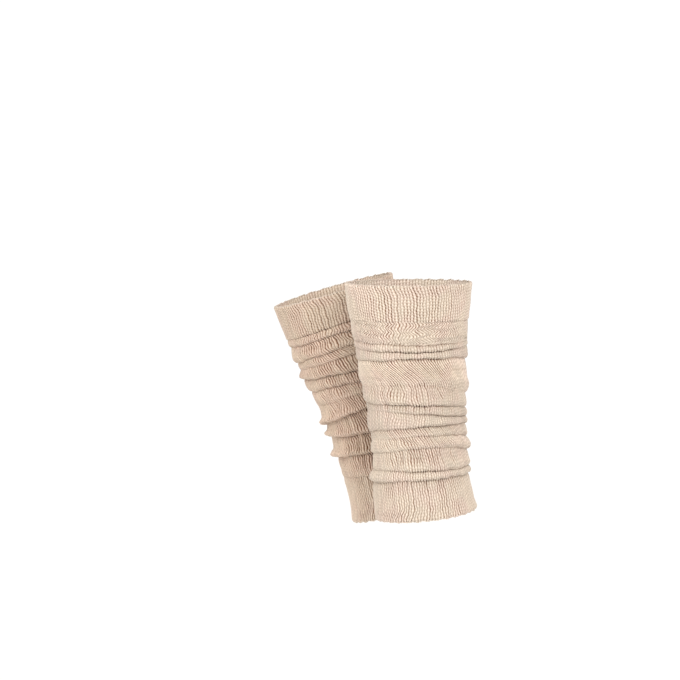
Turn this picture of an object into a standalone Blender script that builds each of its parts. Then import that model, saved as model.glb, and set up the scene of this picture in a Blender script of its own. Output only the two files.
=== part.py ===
"""A pair of slouched rib-knit leg warmers, held up by the calves and open at both ends.

Each is one knitted tube: a ribbed top cuff, a body pushed down into rolls and creases, which is
built in two lengths that meet in a crease, and a ribbed hem cuff. Lengths in the tables are
millimetres down the tube from the middle of its top rim. The front of the wearer is -Y and the
wearer's left is +X.
"""

from collections import namedtuple
import math

import bpy

MM = 0.001

WALL = 2.2  # thickness of the knit
SEAM_GAP = 0.3  # between one stretch and the next
HOLD = 16.0  # from the top rim down to the middle of the cuff, where the calf holds it

RIB_COUNT = 120  # ribs round a cuff, from pitch 3.0 mm on a tube 361 mm round
RIB_RELIEF = 0.9  # from the groove to the crest of a rib
RIM_SCALLOP = 0.5  # how far each rib's last loop stands past the groove beside it
CUFF_INSIDE_COLUMNS = 60  # the inside of a cuff is plain
CUFF_LIFT = 0.9  # how far the top cuff stands out over the body beside it

BODY_COLUMNS = 40
BODY_INSIDE_COLUMNS = 20
UPPER_CREASES = 5  # the upper length of a body ends in this crease, counted from the top
HEM_EASE = 0.6  # how far the hem cuff bellies out between its ends
HEM_EASE_RISE = 6.0  # how far above the cuff's middle it does so

SHARP_FROM = math.radians(60)

YARN = (0.74, 0.60, 0.47, 1.0)
YARN_ROUGHNESS = 0.95

# The smooth tube under the folds: half its depth front to back, half its width side to side, and
# how far its middle sits behind the straight line from rim to hem.
Section = namedtuple("Section", "down deep side behind")
LEFT_SECTIONS = (
    Section(0, 58.8, 57.4, 0.6),
    Section(33, 55.0, 53.6, -1.0),
    Section(60, 52.2, 50.4, -1.4),
    Section(80, 49.8, 48.2, -1.4),
    Section(105, 47.2, 45.2, -0.8),
    Section(130, 45.0, 42.8, -0.6),
    Section(155, 44.4, 42.0, 0.2),
    Section(180, 44.8, 42.0, -1.2),
    Section(200, 46.2, 43.6, 0.2),
    Section(222, 47.8, 45.0, 0.8),
)
RIGHT_SECTIONS = (
    Section(0, 59.0, 57.6, -0.8),
    Section(33, 55.2, 53.8, -2.2),
    Section(60, 52.4, 50.4, -1.6),
    Section(80, 50.0, 48.0, -1.6),
    Section(105, 47.0, 45.0, 0.0),
    Section(130, 45.0, 43.0, 1.4),
    Section(155, 44.4, 42.0, 1.4),
    Section(180, 44.4, 41.8, 1.6),
    Section(200, 45.2, 42.8, 1.8),
    Section(222, 47.4, 44.8, 0.4),
)

# A line round the tube: how far down it lies at the wearer's front, left, back and right.
Line = namedtuple("Line", "front left back right")

# A crease, with the roll of slack that hangs over it: the line that it lies on, how strongly it
# shows on the four sides from 0 to 1, how deep it dips, and how far its roll stands out.
Crease = namedtuple("Crease", "line strength dip stand")

LEFT_RIM = Line(-4.6, 0.2, 3.4, -1.0)
LEFT_CUFF_END = Line(29.0, 33.5, 37.0, 33.0)
LEFT_HEM = Line(219.2, 218.8, 215.2, 218.0)
LEFT_CREASES = (
    Crease(Line(50.0, 55.2, 56.5, 53.0), Line(0.5, 1.0, 0.2, 0.6), 0.8, 0.8),
    Crease(Line(56.0, 60.7, 59.5, 58.6), Line(0.5, 1.0, 0.2, 0.8), 2.2, 1.8),
    Crease(Line(67.0, 66.9, 70.0, 69.5), Line(0.7, 0.9, 1.0, 0.7), 2.2, 3.6),
    Crease(Line(90.0, 94.5, 107.0, 96.0), Line(0.4, 0.5, 1.0, 0.5), 1.2, 4.0),
    Crease(Line(106.8, 111.5, 117.5, 111.0), Line(1.0, 1.0, 0.5, 0.7), 2.2, 2.6),
    Crease(Line(115.0, 121.0, 126.0, 121.0), Line(0.1, 1.0, 1.0, 0.6), 2.0, 2.6),
    Crease(Line(134.5, 130.4, 134.0, 136.0), Line(1.0, 0.8, 0.6, 1.0), 1.6, 4.6),
    Crease(Line(142.5, 141.0, 149.0, 146.5), Line(0.2, 0.6, 0.8, 0.6), 1.0, 2.0),
    Crease(Line(156.0, 151.8, 156.0, 159.0), Line(0.6, 0.7, 1.0, 0.7), 1.6, 4.0),
    Crease(Line(171.5, 173.0, 174.0, 174.5), Line(0.4, 1.0, 0.9, 0.8), 2.0, 2.8),
    Crease(Line(182.0, 180.8, 181.5, 182.5), Line(1.0, 0.8, 0.7, 0.9), 2.0, 5.2),
)

RIGHT_RIM = Line(0.2, 0.0, 1.2, 0.6)
RIGHT_CUFF_END = Line(33.5, 29.5, 32.0, 34.0)
RIGHT_HEM = Line(223.0, 223.0, 222.0, 222.6)
RIGHT_CREASES = (
    Crease(Line(41.0, 38.0, 41.0, 42.0), Line(0.8, 1.0, 0.6, 0.6), 1.2, 1.4),
    Crease(Line(58.0, 51.5, 55.0, 59.0), Line(1.0, 0.6, 0.6, 0.8), 1.4, 3.4),
    Crease(Line(66.0, 62.0, 66.0, 68.0), Line(0.4, 0.8, 0.5, 0.4), 1.0, 1.2),
    Crease(Line(76.7, 77.3, 80.0, 78.0), Line(1.0, 0.8, 0.6, 0.9), 2.4, 4.4),
    Crease(Line(88.7, 88.0, 93.0, 92.0), Line(0.9, 1.0, 0.8, 0.8), 2.2, 2.8),
    Crease(Line(104.0, 101.0, 105.0, 106.5), Line(0.6, 0.7, 0.8, 0.7), 0.6, 0.9),
    Crease(Line(121.5, 114.5, 118.0, 125.0), Line(1.0, 0.5, 0.5, 0.8), 2.0, 6.4),
    Crease(Line(135.0, 143.0, 146.0, 138.0), Line(1.0, 0.5, 0.5, 0.8), 2.0, 6.0),
    Crease(Line(156.0, 161.0, 163.0, 160.0), Line(1.0, 0.4, 0.5, 0.8), 2.0, 6.6),
    Crease(Line(178.5, 182.0, 183.0, 179.5), Line(0.5, 0.7, 0.5, 0.5), 1.2, 1.4),
)

# The form of the cloth from one crease to the next: how far along, the share of the lower crease's
# roll, and the share of the upper crease's dip.
Step = namedtuple("Step", "along roll dip")
ROLL_STEPS = (Step(0.0, 0.0, 1.0), Step(0.25, 0.4, 0.0), Step(0.7, 1.0, 0.0))

# Where each tube stands: the middle of its top cuff, and how its top leans from upright.
Leg = namedtuple("Leg", "name place forward outward sections rim cuff_end creases hem")
LEFT = Leg(
    "left",
    (0.0, 0.0, 0.0),
    math.radians(3.96),
    math.radians(-1.44),
    LEFT_SECTIONS,
    LEFT_RIM,
    LEFT_CUFF_END,
    LEFT_CREASES,
    LEFT_HEM,
)
RIGHT = Leg(
    "right",
    (-0.1328, -0.0224, -0.0134),
    math.radians(15.55),
    math.radians(-5.78),
    RIGHT_SECTIONS,
    RIGHT_RIM,
    RIGHT_CUFF_END,
    RIGHT_CREASES,
    RIGHT_HEM,
)


def round_value(line, azimuth):
    """The value of a line at an azimuth, smooth through its four sides."""
    mean = (line.front + line.left + line.back + line.right) / 4
    front_to_back = (line.front - line.back) / 2
    side_to_side = (line.left - line.right) / 2
    oval = (line.front + line.back - line.left - line.right) / 4
    return (
        mean
        + front_to_back * math.cos(azimuth)
        + side_to_side * math.sin(azimuth)
        + oval * math.cos(2 * azimuth)
    )


def smooth_section(sections, down):
    """The smooth tube at a distance down, on a curve through the rows of its table."""
    last = len(sections) - 2
    index = min(max(sum(row.down <= down for row in sections) - 1, 0), last)
    upper, lower = sections[index], sections[index + 1]
    before = sections[max(index - 1, 0)]
    after = sections[min(index + 2, last + 1)]
    span = lower.down - upper.down
    t = min(max((down - upper.down) / span, 0.0), 1.0)
    found = []
    for column in ("deep", "side", "behind"):
        start, end = getattr(upper, column), getattr(lower, column)
        start_slope = (end - getattr(before, column)) / (lower.down - before.down) * span
        end_slope = (getattr(after, column) - start) / (after.down - upper.down) * span
        value = (2 * t**3 - 3 * t**2 + 1) * start + (3 * t**2 - 2 * t**3) * end
        value += (t**3 - 2 * t**2 + t) * start_slope + (t**3 - t**2) * end_slope
        found.append(value)
    return Section(down, *found)


def tube_point(leg, azimuth, down, outward):
    """A point of the tube in its own frame: outward is from the smooth tube, all in millimetres."""
    section = smooth_section(leg.sections, down)
    x = (section.side + outward) * math.sin(azimuth)
    y = section.behind - (section.deep + outward) * math.cos(azimuth)
    return (x * MM, y * MM, (HOLD - down) * MM)


def ring(columns, point_at):
    """One ring of points, counted from the front round by the wearer's left."""
    return [point_at(column, math.tau * column / columns) for column in range(columns)]


def faces_between(many, many_count, few, few_count):
    """Faces from one ring down to the next, where the second holds a whole fraction of the points."""
    ratio = many_count // few_count
    middle = ratio // 2
    faces = []
    for k in range(few_count):
        this, following = few + k, few + (k + 1) % few_count
        spokes = [many + (k * ratio + i) % many_count for i in range(ratio + 1)]
        if ratio == 1:
            faces.append((this, following, spokes[1], spokes[0]))
            continue
        for i in range(ratio):
            corner = this if i < middle else following
            faces.append((corner, spokes[i + 1], spokes[i]))
        faces.append((this, following, spokes[middle]))
    return faces


def knit_material(name):
    material = bpy.data.materials.new(name)
    material.use_nodes = True
    surface = material.node_tree.nodes["Principled BSDF"]
    surface.inputs["Base Color"].default_value = YARN
    surface.inputs["Roughness"].default_value = YARN_ROUGHNESS
    surface.inputs["Metallic"].default_value = 0.0
    return material


def wall_object(name, outside, inside, stand):
    """A closed wall: its outer rings from top to bottom, then its inner rings from bottom to top."""
    rings = outside + inside
    points = [point for one in rings for point in one]
    starts = [sum(len(one) for one in rings[:i]) for i in range(len(rings))]
    faces = []
    for i in range(len(rings)):
        j = (i + 1) % len(rings)
        if len(rings[i]) >= len(rings[j]):
            faces += faces_between(starts[i], len(rings[i]), starts[j], len(rings[j]))
        else:
            upward = faces_between(starts[j], len(rings[j]), starts[i], len(rings[i]))
            faces += [face[::-1] for face in upward]
    mesh = bpy.data.meshes.new(name)
    mesh.from_pydata(points, [], faces)
    mesh.shade_smooth()
    mesh.set_sharp_from_angle(angle=SHARP_FROM)
    mesh.materials.append(knit_material(name))
    wall = bpy.data.objects.new(name, mesh)
    wall.parent = stand
    bpy.context.scene.collection.objects.link(wall)


def rib(column):
    """How far an outer point of a cuff stands out for its rib: crests are the even columns."""
    return RIB_RELIEF / 2 if column % 2 == 0 else -RIB_RELIEF / 2


def moved_line(line, down):
    """The line moved down the tube by the same distance all round."""
    return Line(*(value + down for value in line))


def middle_line(upper, lower):
    """The line half way between two lines."""
    return Line(*((a + b) / 2 for a, b in zip(upper, lower)))


def dip_at(crease, azimuth):
    """How deep a crease is at an azimuth."""
    return crease.dip * max(round_value(crease.strength, azimuth), 0.0)


def stand_at(crease, azimuth):
    """How far the roll over a crease stands out at an azimuth."""
    return crease.stand * max(round_value(crease.strength, azimuth), 0.0)


def cuff_wall(name, leg, stand, rows):
    """A cuff whose outer points carry the ribs, over a plain inside. Each row is a line, how far
    out the cloth is there at an azimuth, and how far the crests of its ribs stand past the line.
    """

    def outer_ring(line, outward_at, scallop):
        def point_at(column, azimuth):
            down = round_value(line, azimuth) + (scallop if column % 2 == 0 else 0.0)
            return tube_point(leg, azimuth, down, outward_at(azimuth) + rib(column))

        return ring(2 * RIB_COUNT, point_at)

    def inner_ring(line, outward_at):
        def point_at(_, azimuth):
            return tube_point(leg, azimuth, round_value(line, azimuth), outward_at(azimuth) - WALL)

        return ring(CUFF_INSIDE_COLUMNS, point_at)

    outside = [outer_ring(*row) for row in rows]
    inside = [inner_ring(*row[:2]) for row in (rows[-1], rows[0])]
    wall_object(name, outside, inside, stand)


def top_cuff(leg, stand):
    def lifted(_):
        return CUFF_LIFT

    rows = (
        (leg.rim, lifted, -RIM_SCALLOP),
        (middle_line(leg.rim, leg.cuff_end), lifted, 0.0),
        (leg.cuff_end, lifted, 0.0),
    )
    cuff_wall(leg.name + "_top_cuff", leg, stand, rows)


def hem_cuff(leg, stand):
    """The hem cuff comes out from under the last roll of the body."""
    last = leg.creases[-1]
    start = moved_line(last.line, SEAM_GAP)
    belly = moved_line(middle_line(start, leg.hem), -HEM_EASE_RISE)
    rows = (
        (start, lambda azimuth: -dip_at(last, azimuth), 0.0),
        (belly, lambda _: HEM_EASE, 0.0),
        (leg.hem, lambda _: 0.0, RIM_SCALLOP),
    )
    cuff_wall(leg.name + "_hem_cuff", leg, stand, rows)


def body_wall(name, leg, stand, first, creases):
    """A length of the body, from its first crease down through the rest of them."""

    def slack_ring(columns, upper, lower, step, wall):
        def point_at(_, azimuth):
            above = round_value(upper.line, azimuth)
            below = round_value(lower.line, azimuth)
            out = stand_at(lower, azimuth) * step.roll - dip_at(upper, azimuth) * step.dip
            return tube_point(leg, azimuth, above + (below - above) * step.along, out - wall)

        return ring(columns, point_at)

    def rings(columns, wall):
        pairs = list(zip((first,) + creases, creases))
        found = [slack_ring(columns, *pair, step, wall) for pair in pairs for step in ROLL_STEPS]
        return found + [slack_ring(columns, creases[-1], creases[-1], ROLL_STEPS[0], wall)]

    outside = rings(BODY_COLUMNS, 0.0)
    inside = rings(BODY_INSIDE_COLUMNS, WALL)
    wall_object(name, outside, inside[::-1], stand)


def body(leg, stand):
    """The body in its two lengths. The gap between them is hidden in a crease."""
    smooth = Line(0.0, 0.0, 0.0, 0.0)
    start = Crease(moved_line(leg.cuff_end, SEAM_GAP), smooth, 0.0, 0.0)
    upper, lower = leg.creases[:UPPER_CREASES], leg.creases[UPPER_CREASES:]
    parting = upper[-1]._replace(line=moved_line(upper[-1].line, SEAM_GAP))
    body_wall(leg.name + "_upper_body", leg, stand, start, upper)
    body_wall(leg.name + "_lower_body", leg, stand, parting, lower)


def leg_warmer(leg):
    """One leg warmer, its walls on an empty that carries its place and its lean."""
    stand = bpy.data.objects.new(leg.name + "_leg_warmer", None)
    stand.location = leg.place
    stand.rotation_euler = (leg.forward, leg.outward, 0.0)
    bpy.context.scene.collection.objects.link(stand)
    top_cuff(leg, stand)
    body(leg, stand)
    hem_cuff(leg, stand)


for left_over in list(bpy.data.objects):
    bpy.data.objects.remove(left_over, do_unlink=True)

leg_warmer(LEFT)
leg_warmer(RIGHT)
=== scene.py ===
import math
from collections import namedtuple

import bpy
import numpy as np
from mathutils import Euler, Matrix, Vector


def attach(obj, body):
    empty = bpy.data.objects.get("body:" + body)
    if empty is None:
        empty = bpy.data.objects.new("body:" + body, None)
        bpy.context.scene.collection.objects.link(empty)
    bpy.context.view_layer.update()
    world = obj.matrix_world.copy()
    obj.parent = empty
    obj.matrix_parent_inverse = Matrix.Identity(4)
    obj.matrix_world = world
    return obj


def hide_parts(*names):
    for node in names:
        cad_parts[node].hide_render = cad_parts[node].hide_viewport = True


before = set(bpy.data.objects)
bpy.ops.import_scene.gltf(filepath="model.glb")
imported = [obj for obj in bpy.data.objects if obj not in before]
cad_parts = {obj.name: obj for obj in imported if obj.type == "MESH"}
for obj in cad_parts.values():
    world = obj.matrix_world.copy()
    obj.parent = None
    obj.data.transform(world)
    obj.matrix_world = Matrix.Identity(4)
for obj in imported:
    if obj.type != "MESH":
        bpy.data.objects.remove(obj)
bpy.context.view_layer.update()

# ------------------------------------------------------------------------------ top cuffs
# The upper end of each tube: a one by one rib of 120 ribs in soft cream yarn. It is knitted
# first, from its rim down, and its stretch is all that holds the tube up.

MM = 0.001  # sizes are in millimetres, and this turns them into metres
WALL = 2.2
RIBS = 120
HOLD = 16.0  # from the top rim down to the middle of the cuff
COURSE = 2.8  # the height of one row of stitches
CUFF_ROW = 0.94  # from one row of a cuff's mesh to the next
CUFF_COLUMNS = 720  # points round a cuff, six to a rib
CUFF_INSIDE_ROWS = 10
CUFF_LIFT = 0.9  # how far the cuff stands out over the body that grows out of it
TUBE_RADIUS = 47.0  # turns a sideways sway in millimetres into an angle
INSIDE_RIBS = 0.45  # how much of a rib's height shows on the inside
RIB_REACH = 0.8  # how much of each rib's own reach it goes past the edge of its cuff
CHAIN_REACH = 0.7  # how much of that reach the edge chain goes along with
ROUND_OUTSIDE = 0.9  # how far the outside of a cuff's edge turns in
ROUND_INSIDE = 0.5  # how far its inside turns out to meet it

# The smooth tube under the folds, by millimetres down from the rim.
Section = namedtuple("Section", "down deep side behind")
LEFT_SECTIONS = (
    Section(0, 58.8, 57.4, 0.6),
    Section(33, 55.0, 53.6, -1.0),
    Section(60, 52.2, 50.4, -1.4),
    Section(80, 49.8, 48.2, -1.4),
    Section(105, 47.2, 45.2, -0.8),
    Section(130, 45.0, 42.8, -0.6),
    Section(155, 44.4, 42.0, 0.2),
    Section(180, 44.8, 42.0, -1.2),
    Section(200, 46.2, 43.6, 0.2),
    Section(222, 47.8, 45.0, 0.8),
)
RIGHT_SECTIONS = (
    Section(0, 59.0, 57.6, -0.8),
    Section(33, 55.2, 53.8, -2.2),
    Section(60, 52.4, 50.4, -1.6),
    Section(80, 50.0, 48.0, -1.6),
    Section(105, 47.0, 45.0, 0.0),
    Section(130, 45.0, 43.0, 1.4),
    Section(155, 44.4, 42.0, 1.4),
    Section(180, 44.4, 41.8, 1.6),
    Section(200, 45.2, 42.8, 1.8),
    Section(222, 47.4, 44.8, 0.4),
)

# A line round the tube: how far down it lies at the front (-Y), left (+X), back and right.
Line = namedtuple("Line", "front left back right")

# One leg warmer: where the middle of its top cuff is, its lean, its tube and its two ends.
# `cuff_shade` is how dark the painted shade under the top cuff is every 45 degrees from the front
# round, and `cuff_step` is how much of its lift the cuff still has there. `cuff_gather` is how
# tightly the cuff's ribs are drawn together, which also darkens their gaps with painted shade, and
# `ripple` only tells one tube's unevenness from the other's.
Leg = namedtuple(
    "Leg",
    "name place forward outward sections rim cuff_end cuff_shade cuff_step cuff_gather hem ripple",
)
LEFT = Leg(
    name="left",
    place=(0.0, 0.0, 0.0),
    forward=math.radians(3.96),
    outward=math.radians(-1.44),
    sections=LEFT_SECTIONS,
    rim=Line(-4.6, 0.2, 3.4, -1.0),
    cuff_end=Line(29.0, 33.5, 37.0, 33.0),
    cuff_shade=(0.0, 0.0, 0.1, 0.9, 0.4, 0.3, 0.2, 0.1),
    cuff_step=(0.4, 0.15, 0.1, 0.7, 1.0, 0.8, 0.7, 0.6),
    cuff_gather=0.15,
    hem=Line(219.2, 218.8, 215.2, 218.0),
    ripple=0.0,
)
RIGHT = Leg(
    name="right",
    place=(-0.1328, -0.0224, -0.0134),
    forward=math.radians(15.55),
    outward=math.radians(-5.78),
    sections=RIGHT_SECTIONS,
    rim=Line(0.2, 0.0, 1.2, 0.6),
    cuff_end=Line(33.5, 29.5, 32.0, 34.0),
    cuff_shade=(0.4, 1.3, 1.3, 0.6, 0.4, 0.4, 0.4, 0.3),
    cuff_step=(1.0, 1.0, 1.0, 1.0, 0.8, 0.7, 0.7, 0.9),
    cuff_gather=0.4,
    hem=Line(223.0, 223.0, 222.0, 222.6),
    ripple=2.3,
)
PAIR = (LEFT, RIGHT)


def line_at(line, azimuth):
    """How far down a line is at azimuths counted from the front round by the left."""
    mean = sum(line) / 4
    front_to_back = (line.front - line.back) / 2
    side_to_side = (line.left - line.right) / 2
    oval = (line.front + line.back - line.left - line.right) / 4
    round_once = front_to_back * np.cos(azimuth) + side_to_side * np.sin(azimuth)
    return mean + round_once + oval * np.cos(2 * azimuth)


def between(a, b, c, d, t):
    """A value at a share `t` of the way from b to c, on a smooth curve through all four."""
    return b + t / 2 * (c - a + t * (2 * a - 5 * b + 4 * c - d + t * (3 * (b - c) + d - a)))


def shown_at(strengths, azimuth):
    """A strength at azimuths, on a curve through the values that are given all round."""
    values = np.array(strengths)
    place = np.mod(azimuth / math.tau * len(values), len(values))
    whole = np.floor(place).astype(int)
    around = (values[(whole + i) % len(values)] for i in (-1, 0, 1, 2))
    return np.maximum(between(*around, place - whole), 0.0)


def smooth_tube(leg, down):
    """Half depth, half width and set back of the smooth tube, on a curve through its sections."""
    rows = np.array(leg.sections)
    last = len(rows) - 2
    index = np.clip(np.searchsorted(rows[:, 0], down, side="right") - 1, 0, last)
    upper, lower = rows[index], rows[index + 1]
    before, after = rows[np.maximum(index - 1, 0)], rows[np.minimum(index + 2, last + 1)]
    span = lower[..., :1] - upper[..., :1]
    t = np.clip((np.asarray(down)[..., None] - upper[..., :1]) / span, 0.0, 1.0)
    start_slope = (lower - before) / (lower[..., :1] - before[..., :1]) * span
    end_slope = (after - upper) / (after[..., :1] - upper[..., :1]) * span
    value = (2 * t**3 - 3 * t**2 + 1) * upper + (3 * t**2 - 2 * t**3) * lower
    value += (t**3 - 2 * t**2 + t) * start_slope + (t**3 - t**2) * end_slope
    return value[..., 1], value[..., 2], value[..., 3]


# Waves round a tube: how high, how many go round, and how far they turn for each millimetre down.
Wave = namedtuple("Wave", "height round turn")
LUMPS = (Wave(0.22, 5, 0.11), Wave(0.18, 9, -0.17), Wave(0.14, 14, 0.31))
DRIFTS = (Wave(0.35, 17, 0.37), Wave(0.35, 23, -0.71), Wave(0.3, 37, 1.05))


def waves(rows, leg, azimuth, down):
    total = 0.0
    for count, wave in enumerate(rows, 1):
        total = total + wave.height * np.sin(wave.round * azimuth + wave.turn * down + count * leg.ripple)
    return total


def tube_points(leg, azimuth, down, outward):
    """Points of the tube where it hangs. All but the azimuth are in millimetres."""
    deep, side, behind = smooth_tube(leg, down)
    reach = outward + waves(LUMPS, leg, azimuth, down)
    x = (side + reach) * np.sin(azimuth)
    y = behind - (deep + reach) * np.cos(azimuth)
    local = np.stack([x, y, HOLD - down], axis=-1) * MM
    lean = np.array(Euler((leg.forward, leg.outward, 0.0)).to_matrix())
    return local @ lean.T + np.array(leg.place)


def wander(leg, azimuth, down):
    """How far ribs drift sideways, in millimetres. Neighbours drift by other amounts, so the ribs
    bunch up in one place and spread in the next.
    """
    return waves(DRIFTS, leg, azimuth, down)


def rib_ends(leg, azimuth):
    """How far each rib reaches past the gaps beside it at an edge, each by its own amount."""
    own = np.random.default_rng(len(leg.name)).uniform(-0.3, 1.0, RIBS)
    rib = np.round(azimuth / math.tau * RIBS).astype(int) % RIBS
    lobe = 0.5 + 0.5 * np.cos(RIBS * azimuth)
    return (0.5 + 0.6 * own[rib]) * lobe - 0.4


# A face of cloth: rows of points, the count of stitches down to each row, and at each point how
# much of the rib shows, how much painted shade of a fold it has and how tightly its ribs are gathered.
Face = namedtuple("Face", "points stitches rib fold gather")


def knit_shell(name, outside, inside):
    """A closed wall: its outer rows from the rim down, then its inner rows back up. The ribs of
    the inside lie between those of the outside, as they do in a one by one rib.
    """
    points = np.concatenate([outside.points, inside.points])
    rows, columns = points.shape[:2]
    row, column = np.divmod(np.arange(rows * columns), columns)
    below, beside = (row + 1) % rows, (column + 1) % columns
    corners = ((below, column), (below, beside), (row, beside), (row, column))
    faces = np.stack([at * columns + along for at, along in corners], axis=-1)
    mesh = bpy.data.meshes.new(name)
    mesh.from_pydata(points.reshape(-1, 3).tolist(), [], faces.tolist())
    mesh.shade_smooth()

    outer_ribs = np.tile(np.arange(columns) * RIBS / columns, (rows, 1))
    across = outer_ribs.copy()
    across[len(outside.points):] += 0.5
    stitches = np.concatenate([outside.stitches, inside.stitches])
    values = {
        "outer_ribs": outer_ribs,
        "rib_across": across,
        "stitch_down": np.repeat(stitches[:, None], columns, axis=1),
        "rib_share": np.concatenate([outside.rib, inside.rib]),
        "fold": np.concatenate([outside.fold, inside.fold]),
        "gather": np.concatenate([outside.gather, inside.gather]),
    }
    for title, value in values.items():
        layer = mesh.attributes.new(title, "FLOAT", "POINT")
        layer.data.foreach_set("value", value.astype(np.float32).ravel())

    # The knit's own map counts ribs across and stitches down. It runs on past the last rib
    # instead of back to the first, and it doesn't jump where the outside turns to the inside.
    step = RIBS / columns
    own = across[row, column]
    here, next_down = stitches[row], np.where(below > row, stitches[below], stitches[row] + 1.0)
    counts = np.stack([own, next_down, own + step, next_down, own + step, here, own, here], axis=-1)
    knit_map = mesh.uv_layers.new(name="knit")
    knit_map.data.foreach_set("uv", counts.astype(np.float32).ravel())

    wall = bpy.data.objects.new(name, mesh)
    bpy.context.scene.collection.objects.link(wall)
    return wall


def number(tree, operation, *values):
    """The result of a Math node. Each value is a number or another node's output."""
    node = tree.nodes.new("ShaderNodeMath")
    node.operation = operation
    for socket, value in zip(node.inputs, values):
        if isinstance(value, (int, float)):
            socket.default_value = value
        else:
            tree.links.new(value, socket)
    return node.outputs[0]


def blend_in(tree, share, start, end):
    """0 up to `start`, 1 from `end` on, and smooth between them."""
    node = tree.nodes.new("ShaderNodeMapRange")
    node.interpolation_type = "SMOOTHSTEP"
    tree.links.new(share, node.inputs["Value"])
    node.inputs["From Min"].default_value = start
    node.inputs["From Max"].default_value = end
    return node.outputs["Result"]


def chance(tree, place):
    """A random number from 0 to 1 for each rib or gap, the same again once round the tube."""
    node = tree.nodes.new("ShaderNodeTexWhiteNoise")
    node.noise_dimensions = "1D"
    whole = number(tree, "MODULO", number(tree, "ROUND", place), float(RIBS))
    tree.links.new(whole, node.inputs["W"])
    return node.outputs["Value"]


def noise(tree, size, detail, place=None):
    """Soft random patches of about a size, from 0 to 1."""
    node = tree.nodes.new("ShaderNodeTexNoise")
    node.inputs["Scale"].default_value = 1.0 / size
    node.inputs["Detail"].default_value = detail
    if place is not None:
        tree.links.new(place, node.inputs["Vector"])
    return node.outputs[0]


def swell_at(tree, stitches_down, shift):
    """The swell of each stitch from 0 to 1. `shift` sets a rib's stitches higher or lower."""
    place = number(tree, "MULTIPLY", number(tree, "ADD", shift, stitches_down), math.tau)
    return number(tree, "MULTIPLY_ADD", number(tree, "COSINE", place), 0.5, 0.5)


def stitch_pattern(tree, ribs_across, stitches_down):
    """How far from a rib's crest (0) to the gap beside it (1), and the swell of its stitches. The
    two sides of a stitch slant down to its middle, as a V.
    """
    from_gap = number(tree, "ABSOLUTE", number(tree, "SUBTRACT", number(tree, "FRACT", ribs_across), 0.5))
    to_gap = number(tree, "SUBTRACT", 1.0, number(tree, "MULTIPLY", from_gap, 2.0))
    slanted = number(tree, "SUBTRACT", stitches_down, number(tree, "MULTIPLY", to_gap, 0.35))
    return to_gap, swell_at(tree, slanted, chance(tree, ribs_across))


def drawn_gaps(tree, ribs_across):
    """Up to 1 in the middle of a gap and 0 on the ribs beside it. Where ribs are gathered, they
    bunch in twos and threes, so about every second gap is drawn in, each by its own amount.
    """
    gap = number(tree, "SUBTRACT", ribs_across, 0.5)
    aside = number(tree, "ABSOLUTE", number(tree, "SUBTRACT", gap, number(tree, "ROUND", gap)))
    drawn = number(tree, "SUBTRACT", 1.0, blend_in(tree, aside, 0.0, 0.5))
    own = number(tree, "MULTIPLY", blend_in(tree, chance(tree, gap), 0.25, 0.75), 1.2)
    return number(tree, "MULTIPLY", drawn, own)


def new_tree(name, kind, inputs, outputs):
    """A node tree with its inputs and outputs, and its two end nodes."""
    tree = bpy.data.node_groups.new(name, kind)
    for title, socket, value in inputs:
        made = tree.interface.new_socket(title, in_out="INPUT", socket_type=socket)
        if value is not None:
            made.default_value = value
    for title, socket in outputs:
        tree.interface.new_socket(title, in_out="OUTPUT", socket_type=socket)
    return tree, tree.nodes.new("NodeGroupInput"), tree.nodes.new("NodeGroupOutput")


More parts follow.
